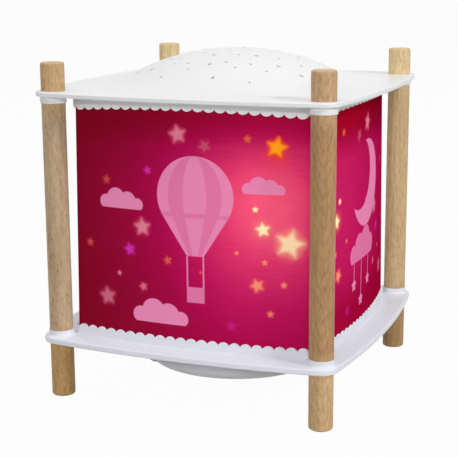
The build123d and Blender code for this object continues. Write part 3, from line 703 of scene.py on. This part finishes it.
lid_shade = carried(tree, z, 1.0, least_light, lid_shade_from, lid_shade_to)
# Painted glow: how brightly the lamp behind would light the film, which the ramp turns into the film's colour
light = calc(tree, "DIVIDE", calc(tree, "MULTIPLY", by_face(1.0, side_glow), lid_shade), fall)
glow_ramp = add_node(tree, "ShaderNodeValToRGB", {0: light})
elements = glow_ramp.color_ramp.elements
elements[0].position, elements[0].color = glow_stops[0]
elements[1].position, elements[1].color = glow_stops[-1]
for stop, colour in glow_stops[1:-1]:
    elements.new(stop).color = colour
picture = glow_ramp.outputs["Color"]
head_shade_tint = over(tree, ramp(tree, across, *far_run), head_shade_red, far_head_shade_red)
picture = over(tree, calc(tree, "MULTIPLY", head_shade_share, ramp(tree, z, *head_shade_run)), picture, head_shade_tint)
picture = over(tree, calc(tree, "MULTIPLY", foot_share, ramp(tree, z, *foot_red_run)), picture, foot_red)

# Faint streaks along the film, from its rolling
on_film = add_node(tree, "ShaderNodeCombineXYZ", {0: across, 2: z}).outputs[0]
streaks = stretched_noise(tree, on_film, across=60.0, along=900.0)
picture = shaded(tree, picture, carried(tree, streaks, 0.94, 1.06, start=0.3, stop=0.7))

# Painted light: stars that the drum throws on the film, each with a rim and a brighter heart
thrown_lights = {
    "orange": (paint(240, 66, 26), paint(252, 158, 26)),
    "butter": (paint(242, 140, 124), paint(252, 232, 180)),
    "rose": (paint(196, 60, 96), paint(224, 132, 152)),
    "magenta": (paint(172, 22, 116), paint(206, 52, 170)),
    "coral": (paint(186, 40, 44), paint(230, 102, 86)),
    "peach": (paint(226, 66, 84), paint(248, 152, 112)),
}
# Each row: across, up and reach in millimetres, turn in degrees, blur, strength, light
thrown_stars = (
    (-3.0, 151.0, 6.1, 10, 0.26, 0.74, "rose"),
    (12.0, 145.5, 4.4, 30, 0.50, 0.26, "rose"),
    (50.0, 146.0, 6.6, -12, 0.22, 0.98, "orange"),
    (35.0, 150.0, 2.6, 0, 0.70, 0.36, "orange"),
    (-21.0, 131.0, 3.0, 18, 0.34, 0.75, "magenta"),
    (-47.0, 124.0, 3.2, 0, 0.80, 0.45, "coral"),
    (-25.0, 100.0, 6.2, 4, 0.26, 0.76, "rose"),
    (-3.5, 108.0, 1.4, 0, 0.40, 0.60, "rose"),
    (39.0, 113.5, 2.1, 0, 0.50, 0.98, "butter"),
    (43.0, 103.0, 4.8, 8, 0.26, 1.00, "butter"),
    (57.0, 96.0, 9.4, -14, 0.34, 0.80, "butter"),
    (-33.0, 87.0, 4.4, 14, 0.30, 0.78, "magenta"),
    (-59.0, 88.0, 3.0, 0, 0.45, 0.48, "coral"),
    (-10.0, 83.0, 3.2, 12, 0.40, 0.60, "coral"),
    (29.0, 90.0, 1.7, 0, 0.60, 0.75, "peach"),
    (44.0, 85.5, 2.3, 0, 0.70, 0.75, "peach"),
    (9.0, 78.0, 1.3, 0, 0.50, 0.60, "coral"),
    (-40.0, 73.0, 1.9, 0, 0.40, 0.70, "rose"),
    (-25.0, 67.0, 3.0, 20, 0.40, 0.60, "rose"),
    (40.0, 73.0, 4.8, 24, 0.50, 0.80, "peach"),
    (54.0, 74.0, 2.4, 0, 0.70, 0.70, "peach"),
    (-48.0, 59.0, 6.3, 8, 0.28, 0.52, "rose"),
    (47.0, 58.0, 2.5, 0, 0.75, 0.60, "peach"),
    (26.0, 50.0, 4.0, 0, 0.65, 0.28, "magenta"),
)
# Painted glows round the brightest stars: across, up and reach in millimetres, strength, light
thrown_glows = (
    (49.0, 124.0, 7.0, 0.45, "orange"),
    (50.0, 141.0, 10.0, 0.40, "orange"),
    (43.0, 103.0, 9.0, 0.35, "butter"),
    (57.0, 96.0, 14.0, 0.30, "butter"),
)
millimetre = 0.001

soft_disc, ends_in, ends_out = new_group(
    "soft_disc",
    [("Across", "Float"), ("Up", "Float"), ("Middle Across", "Float"), ("Middle Up", "Float")]
    + [("Radius", "Float"), ("Blur", "Float")],
    [("Mask", "Float")],
)
disc_across = calc(soft_disc, "SUBTRACT", ends_in.outputs["Across"], ends_in.outputs["Middle Across"])
disc_up = calc(soft_disc, "SUBTRACT", ends_in.outputs["Up"], ends_in.outputs["Middle Up"])
from_middle = calc(soft_disc, "SQRT", sum_of_squares(soft_disc, disc_across, disc_up))
outside = calc(soft_disc, "SUBTRACT", from_middle, ends_in.outputs["Radius"])
within_edge = calc(soft_disc, "MULTIPLY", ends_in.outputs["Blur"], -1.0)
plug(soft_disc, ends_out.inputs["Mask"], ramp(soft_disc, outside, ends_in.outputs["Blur"], within_edge))


def disc(middle, radius, blur):
    """Mask of a disc on a face."""
    made = add_node(tree, "ShaderNodeGroup", node_tree=soft_disc)
    for socket, value in zip(made.inputs, (across, z, *middle, radius, blur)):
        plug(tree, socket, value)
    return made.outputs["Mask"]


for middle, rise, reach, strength, light_name in thrown_glows:
    half_reach = reach * millimetre / 2
    mask = disc((middle * millimetre, rise * millimetre), half_reach, half_reach)
    picture = over(tree, calc(tree, "MULTIPLY", mask, strength), picture, thrown_lights[light_name][0])
for middle, rise, reach, turn, blur, strength, light_name in thrown_stars:
    rim, heart = thrown_lights[light_name]
    place = (middle * millimetre, rise * millimetre)
    mask, core = star(tree, across, z, place, reach * millimetre, math.radians(turn), blur)
    picture = over(tree, calc(tree, "MULTIPLY", mask, strength), picture, over(tree, core, rim, heart))

# Printed silhouettes: a hot-air balloon among clouds on the front and back, a moon over a cloud on the sides
print_pale = (0.725, 0.232, 0.420, 1.0)
print_deep = (0.675, 0.172, 0.352, 1.0)
print_edge = 0.0003
print_cover = 0.9


def either_of(*masks):
    """Mask of what any of several masks covers."""
    whole = masks[0]
    for mask in masks[1:]:
        whole = calc(tree, "MAXIMUM", whole, mask)
    return whole


def both_of(*masks):
    """Mask of what all of several masks cover."""
    whole = masks[0]
    for mask in masks[1:]:
        whole = calc(tree, "MULTIPLY", whole, mask)
    return whole


def above(level):
    return ramp(tree, z, level - print_edge, level + print_edge)


def below(level):
    return ramp(tree, z, level + print_edge, level - print_edge)


def within(value, limit):
    """Mask of where a value is under a limit."""
    return ramp(tree, calc(tree, "SUBTRACT", value, limit), print_edge, -print_edge)


def off_line(middle):
    """Distance to an upright line on a face."""
    return calc(tree, "ABSOLUTE", calc(tree, "SUBTRACT", across, middle))


# A cloud's four puffs, each its middle, rise and radius, and its flat foot, all in shares of the cloud's size
cloud_puffs = ((-1.15, 0.34, 0.42), (-0.45, 0.58, 0.62), (0.35, 0.48, 0.55), (1.0, 0.30, 0.38))
cloud_foot_shift = -0.08
cloud_foot_half = 1.1
cloud_foot_rise = 0.35


def cloud(middle, base, size):
    """Mask of a flat-bottomed cloud of four puffs."""
    discs = []
    for side, rise, radius in cloud_puffs:
        discs.append(disc((middle + side * size, base + rise * size), radius * size, print_edge))
    along_foot = within(off_line(middle + cloud_foot_shift * size), cloud_foot_half * size)
    foot = both_of(along_foot, below(base + cloud_foot_rise * size))
    return both_of(either_of(foot, *discs), above(base))


balloon_across = 0.006
balloon_level = 0.1185
balloon_radius = 0.0215
shoulder = 0.5           # angle below the level of its middle where the round runs into the cone, in radians
mouth_level = 0.0865
mouth_half = 0.0048
band_half = 0.0012
gore_from = (0.28, 0.33)  # of the half width, where the darker gore begins and ends
gore_to = (0.73, 0.68)
basket_half = 0.0050
basket_span = (0.0610, 0.0695)
rope_half = 0.0004
front_cloud_rows = ((-0.037, 0.1090, 0.0092), (0.044, 0.1215, 0.0076), (-0.014, 0.0475, 0.0112))

off_middle = off_line(balloon_across)
off_level = calc(tree, "SUBTRACT", z, balloon_level)
round_square = calc(tree, "SUBTRACT", balloon_radius ** 2, calc(tree, "MULTIPLY", off_level, off_level))
round_half = calc(tree, "SQRT", calc(tree, "MAXIMUM", round_square, 0.0))
shoulder_level = balloon_level - balloon_radius * math.sin(shoulder)
shoulder_half = balloon_radius * math.cos(shoulder)
cone_half = carried(tree, z, mouth_half, shoulder_half, mouth_level, shoulder_level)
on_round = calc(tree, "GREATER_THAN", z, shoulder_level)
half_width = add_node(tree, "ShaderNodeMix", {0: on_round, 2: cone_half, 3: round_half}).outputs[0]
envelope = both_of(within(off_middle, half_width), above(mouth_level), below(balloon_level + balloon_radius))
share_across = calc(tree, "DIVIDE", off_middle, calc(tree, "MAXIMUM", half_width, print_edge))
gore = both_of(ramp(tree, share_across, *gore_from), ramp(tree, share_across, *gore_to))
band = both_of(above(shoulder_level - band_half), below(shoulder_level + band_half))
rope_off = calc(tree, "ABSOLUTE", calc(tree, "SUBTRACT", off_middle, basket_half - rope_half))
ropes = both_of(within(rope_off, rope_half), above(basket_span[0]), below(mouth_level))
basket = both_of(within(off_middle, basket_half), above(basket_span[0]), below(basket_span[1]))
front_clouds = [cloud(*row) for row in front_cloud_rows]
front_print = either_of(envelope, ropes, basket, *front_clouds)
front_deep = either_of(both_of(envelope, either_of(gore, band)), basket)

moon_place = (-0.0040, 0.1170)
moon_radius = 0.0245
hollow_place = (0.0085, 0.1235)
hollow_radius = 0.0200
side_cloud_row = (0.002, 0.0745, 0.0150)
threads = ((-0.011, 0.060), (0.003, 0.051), (0.016, 0.062))
thread_top = 0.0755
hung_star_reach = 0.0040
hung_star_blur = 0.08

moon = disc(moon_place, moon_radius, print_edge)
hollow = disc(hollow_place, hollow_radius, print_edge)
crescent = both_of(moon, calc(tree, "SUBTRACT", 1.0, hollow))
side_cloud = cloud(*side_cloud_row)
hung = []
for thread, end in threads:
    hung.append(both_of(within(off_line(thread), rope_half), above(end), below(thread_top)))
    hung.append(star(tree, across, z, (thread, end), hung_star_reach, 0.0, hung_star_blur)[0])
side_print = either_of(crescent, side_cloud, *hung)

printed = calc(tree, "MULTIPLY", by_face(front_print, side_print), print_cover)
deep = by_face(front_deep, side_cloud)
picture = over(tree, printed, picture, over(tree, deep, print_pale, print_deep))

# Light that the film throws on its neighbours is paler than the film itself
film_spill = (0.56, 0.55, 0.57, 1.0)
spill_share = 0.86
screen_glow = 0.34
calender_scale = 500.0
calender_sheen = (-0.6, 1.4)

path = add_node(tree, "ShaderNodeLightPath")
thrown_on = calc(tree, "MAXIMUM", path.outputs["Is Diffuse Ray"], path.outputs["Is Glossy Ray"])
shown = over(tree, calc(tree, "MULTIPLY", thrown_on, spill_share), picture, film_spill)
# The film's colour with its painted glow is also its emission.
tree.links.new(shown, shader.inputs["Base Color"])
tree.links.new(shown, shader.inputs["Emission Color"])
shader.inputs["Emission Strength"].default_value = screen_glow
shader.inputs["Specular IOR Level"].default_value = 0.0
calender = even_noise(tree, object_place(tree), calender_scale, detail=2.0)
tree.links.new(ramp(tree, calender, *calender_sheen), shader.inputs["Roughness"])
dress(screen_film, "picture_screen")

# Lid
# A second white moulding with the tray's outline rises to a low dome, pierced with scattered small stars. Its
# collars push down over the posts, and its scalloped wall hides the screen's top edge.
dress(moulded("lid_plastic", paint(238, 238, 239), roughness=0.38), "lid")
